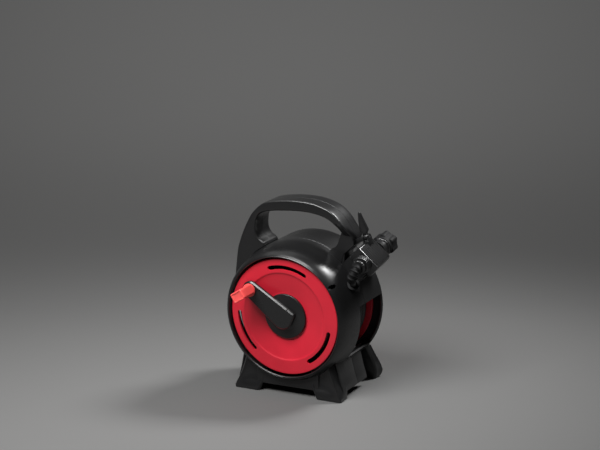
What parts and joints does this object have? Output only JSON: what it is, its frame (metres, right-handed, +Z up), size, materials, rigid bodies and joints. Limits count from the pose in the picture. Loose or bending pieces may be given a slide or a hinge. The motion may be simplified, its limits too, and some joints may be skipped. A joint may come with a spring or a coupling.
{
  "type": "hose reel",
  "caption": "Compact hand-cranked garden hose reel: round plastic housing with carry handle and feet, red drum flange with crank and knob, spray nozzle stowed on the shoulder.",
  "frame": {"origin": "on the floor, below the drum's axis, in the parting plane of the two housing halves", "axes": "+Z up; -Y to the front, where the crank is; +X to the side that carries the nozzle; the drum's axis is along Y"},
  "size_m": [0.2548, 0.1877, 0.3081],
  "materials": {
    "black_plastic": "fine-grained black moulding with a soft sheen",
    "soft_plastic": "soft black elastomer",
    "red_plastic": "satin red moulding",
    "knob_plastic": "satin bright red moulding",
    "hose": "smooth dark hose",
    "steel": "zinc-plated",
    "seal": "matt",
    "natural_plastic": "uncoloured"
  },
  "bodies": {
    "housing": {"front_shell": "black_plastic", "rear_shell": "black_plastic", "rear_spider": "black_plastic", "case_screws": "steel", "spindle": "natural_plastic", "spindle_screws": "steel", "spindle_seals": "seal", "thrust_washer": "natural_plastic", "retaining_washer": "steel", "retaining_screw": "steel", "inlet_spigot": "black_plastic", "inlet_seal": "seal", "hose_guide": "soft_plastic", "hose_lead": "hose", "nozzle_holder": "black_plastic", "nozzle_body": "black_plastic", "nozzle_pad": "soft_plastic", "spray_core": "black_plastic", "lever_pin": "steel", "coupling_body": "black_plastic", "hose_nut": "black_plastic", "hose_elbow": "soft_plastic"},
    "drum": {"drum_front_flange": "red_plastic", "drum_core": "black_plastic", "drum_rear_flange": "red_plastic", "drum_bushes": "natural_plastic", "flange_screws": "steel", "rear_flange_screws": "steel", "hose_tail": "natural_plastic", "hose_core": "hose", "hose_winding": "hose", "crank_arm": "black_plastic", "knob_pin": "steel"},
    "knob": {"crank_knob": "knob_plastic"},
    "lever": {"nozzle_lever": "black_plastic"},
    "ring": {"spray_ring": "black_plastic"},
    "collar": {"coupling_collar": "black_plastic"}
  },
  "joints": [
    {"name": "drum_spin", "type": "hinge", "parent": "housing", "child": "drum", "pos_m": [0, 0, 0.13], "axis": [0, -1, 0], "continuous": true},
    {"name": "knob_spin", "type": "hinge", "parent": "drum", "child": "knob", "pos_m": [-0.05501, -0.09, 0.16997], "axis": [0, -1, 0], "continuous": true},
    {"name": "lever_turn", "type": "hinge", "parent": "housing", "child": "lever", "pos_m": [0.113, 0.00672, 0.25324], "axis": [0.9703, -0.0337, 0.2396], "range_deg": [0, 60]},
    {"name": "ring_twist", "type": "hinge", "parent": "housing", "child": "ring", "pos_m": [0.12, 0.05645, 0.22993], "axis": [0, 0.9903, 0.1392], "range_deg": [-120, 120]},
    {"name": "collar_slide", "type": "slide", "parent": "housing", "child": "collar", "axis": [0, -0.9903, -0.1392], "range_m": [0, 0.003], "stiffness_N_per_m": 400, "springref_m": -0.002}
  ]
}
